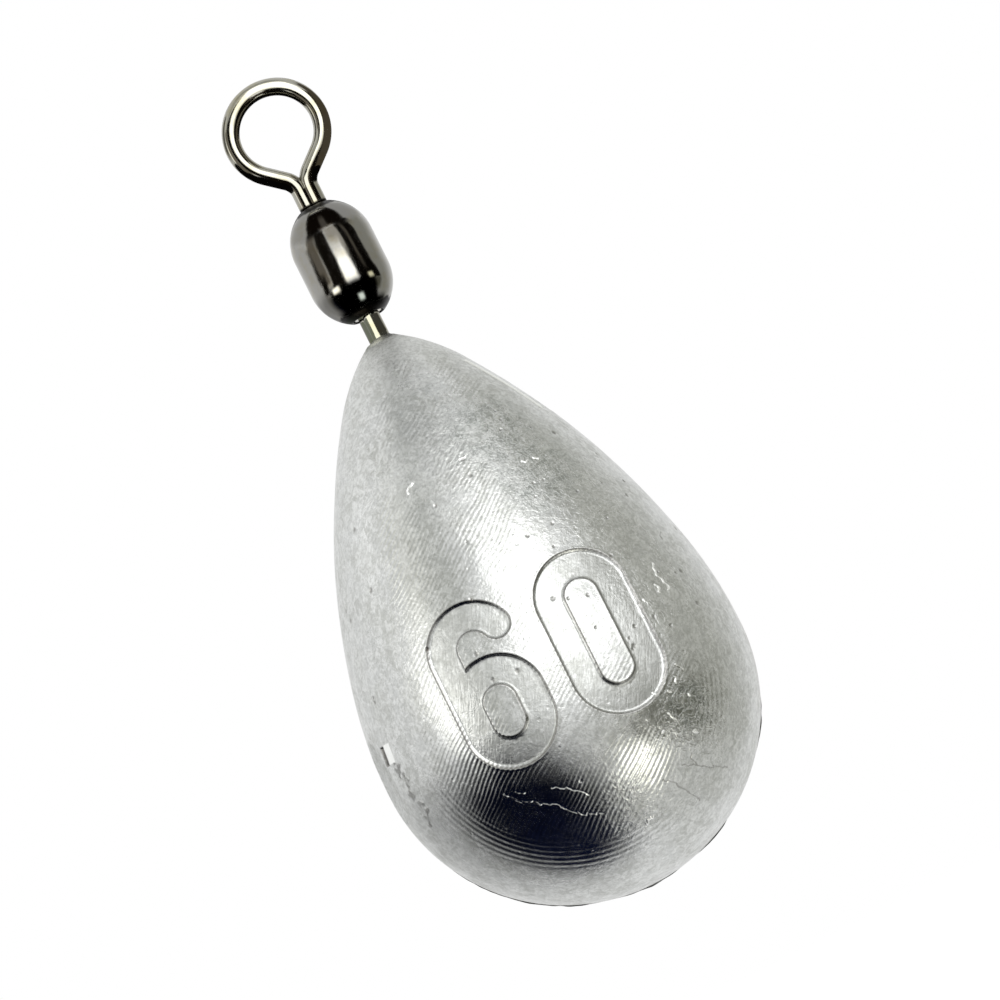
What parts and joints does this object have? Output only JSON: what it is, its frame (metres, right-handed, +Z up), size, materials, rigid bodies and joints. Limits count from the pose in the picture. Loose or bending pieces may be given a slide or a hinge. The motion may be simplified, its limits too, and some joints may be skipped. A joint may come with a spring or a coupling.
{
  "type": "fishing sinker",
  "caption": "Drop-shaped cast lead fishing sinker that hangs from a barrel swivel cast into its tip; line ties to the free wire eye, and the lead spins under it.",
  "frame": {"origin": "centre of the line eye's ring, from which the sinker hangs in use", "axes": "+Z up the sinker's long axis, from the lead to the line eye; the line eye's ring and the mould's parting line lie in the XZ plane; -Y is the face that the picture shows"},
  "size_m": [0.0195, 0.0192, 0.0448],
  "materials": {
    "cast_lead": "bright satin cast lead with fine mould cutter marks",
    "barrel_plating": "polished black nickel plate on brass",
    "eye_wire": "polished dark nickel plate on wire"
  },
  "bodies": {
    "line_eye": {"line_eye": "eye_wire"},
    "swivel_barrel": {"swivel_barrel": "barrel_plating"},
    "weight": {"anchor_eye": "eye_wire", "lead_body": "cast_lead"}
  },
  "joints": [
    {"name": "upper_swivel", "type": "hinge", "parent": "line_eye", "child": "swivel_barrel", "pos_m": [0, 0, -0.0045], "axis": [0, 0, 1], "continuous": true},
    {"name": "lower_swivel", "type": "hinge", "parent": "swivel_barrel", "child": "weight", "pos_m": [0, 0, -0.01025], "axis": [0, 0, 1], "continuous": true}
  ]
}
